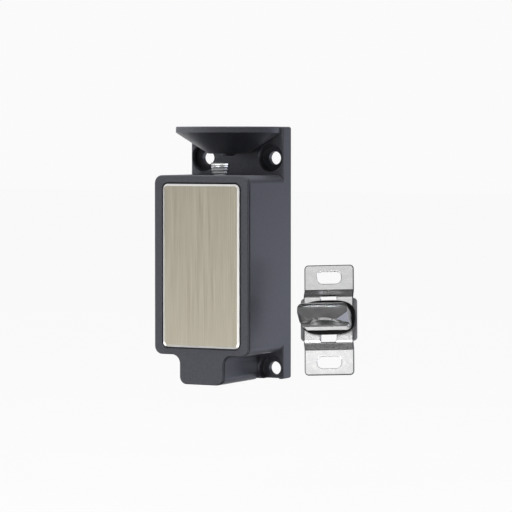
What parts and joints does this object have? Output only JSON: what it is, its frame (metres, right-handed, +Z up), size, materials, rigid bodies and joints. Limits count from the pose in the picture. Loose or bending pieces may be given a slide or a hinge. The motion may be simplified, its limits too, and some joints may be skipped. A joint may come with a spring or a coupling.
{
  "type": "electric door strike",
  "caption": "Surface-mounted electric pin lock: cast housing with a conical keeper guide and solenoid-driven locking pin, and its slotted door keeper with an eyed, floating tongue.",
  "frame": {"origin": "centre of the lock's back face, on the surface it is screwed to", "axes": "+Y into the mounting surface, +Z up towards the guide cone, +X to the right seen from the front; the keeper lies loose to the right, turned, leant back and slightly twisted"},
  "size_m": [0.0807, 0.0384, 0.1023],
  "materials": {
    "cast_paint": "fine satin powder coat on cast zinc",
    "nickel_plate": "champagne nickel, brushed vertically, with a bright bevelled edge",
    "fastener_steel": "turned steel, brightly plated",
    "soft_iron": "dull soft iron with a thin zinc flash",
    "zinc_plate": "bright zinc-plated pressed steel",
    "cast_zinc": "smooth grey die casting, edges polished by use",
    "copper": "enamelled copper wire",
    "spring_steel": "drawn spring wire",
    "rubber": "matt moulded rubber",
    "nylon": "moulded natural nylon",
    "black_plastic": "matt moulded plastic",
    "green_plastic": "moulded plastic",
    "circuit_board": "solder-masked glass-epoxy board",
    "red_sleeve": "wire insulation"
  },
  "bodies": {
    "lock": {"housing": "cast_paint", "front_cover": "cast_paint", "face_plate": "nickel_plate", "cover_screw_1": "fastener_steel", "cover_screw_2": "fastener_steel", "cover_screw_3": "fastener_steel", "cover_screw_4": "fastener_steel", "solenoid_screw_1": "fastener_steel", "solenoid_screw_2": "fastener_steel", "pin_bush": "fastener_steel", "pin_spring": "spring_steel", "solenoid_frame": "soft_iron", "coil_bobbin": "nylon", "coil_winding": "copper", "fixed_core": "soft_iron", "core_nut": "zinc_plate", "circuit_board": "circuit_board", "board_screw_1": "fastener_steel", "board_screw_2": "fastener_steel", "terminal_block": "green_plastic", "surge_diode": "black_plastic", "status_switch": "black_plastic", "lever_pivot_pin": "fastener_steel", "coil_lead_positive": "red_sleeve", "coil_lead_negative": "black_plastic", "cable_grommet": "rubber"},
    "pin": {"locking_pin": "fastener_steel", "pin_collar": "zinc_plate", "plunger": "soft_iron", "plunger_cross_pin": "fastener_steel"},
    "lever": {"switch_lever": "spring_steel"},
    "keeper": {"keeper_bracket": "zinc_plate"},
    "tongue": {"keeper_tongue": "cast_zinc", "keeper_carrier": "soft_iron", "keeper_pad": "rubber", "tongue_screw_1": "fastener_steel", "tongue_screw_2": "fastener_steel"}
  },
  "joints": [
    {"name": "pin_slide", "type": "slide", "parent": "lock", "child": "pin", "axis": [0, 0, 1], "range_m": [-0.0052, 0], "stiffness_N_per_m": 288, "springref_m": 0.007, "deforming": ["pin_spring"]},
    {"name": "lever_hinge", "type": "hinge", "parent": "lock", "child": "lever", "pos_m": [-0.0102, -0.0087, 0.0168], "axis": [1, 0, 0], "range_deg": [0, 22.6]},
    {"name": "keeper_travel", "type": "slide", "parent": "lock", "child": "keeper", "axis": [1, 0, 0], "range_m": [0, 0.05]},
    {"name": "keeper_float", "type": "slide", "parent": "keeper", "child": "tongue", "axis": [0.9421, 0.3341, 0.0273], "range_m": [-0.0012, 0.0012]}
  ],
  "couplings": [
    {"joint": "lever_hinge", "follows": "pin_slide", "rad_per_m": -74.68}
  ]
}
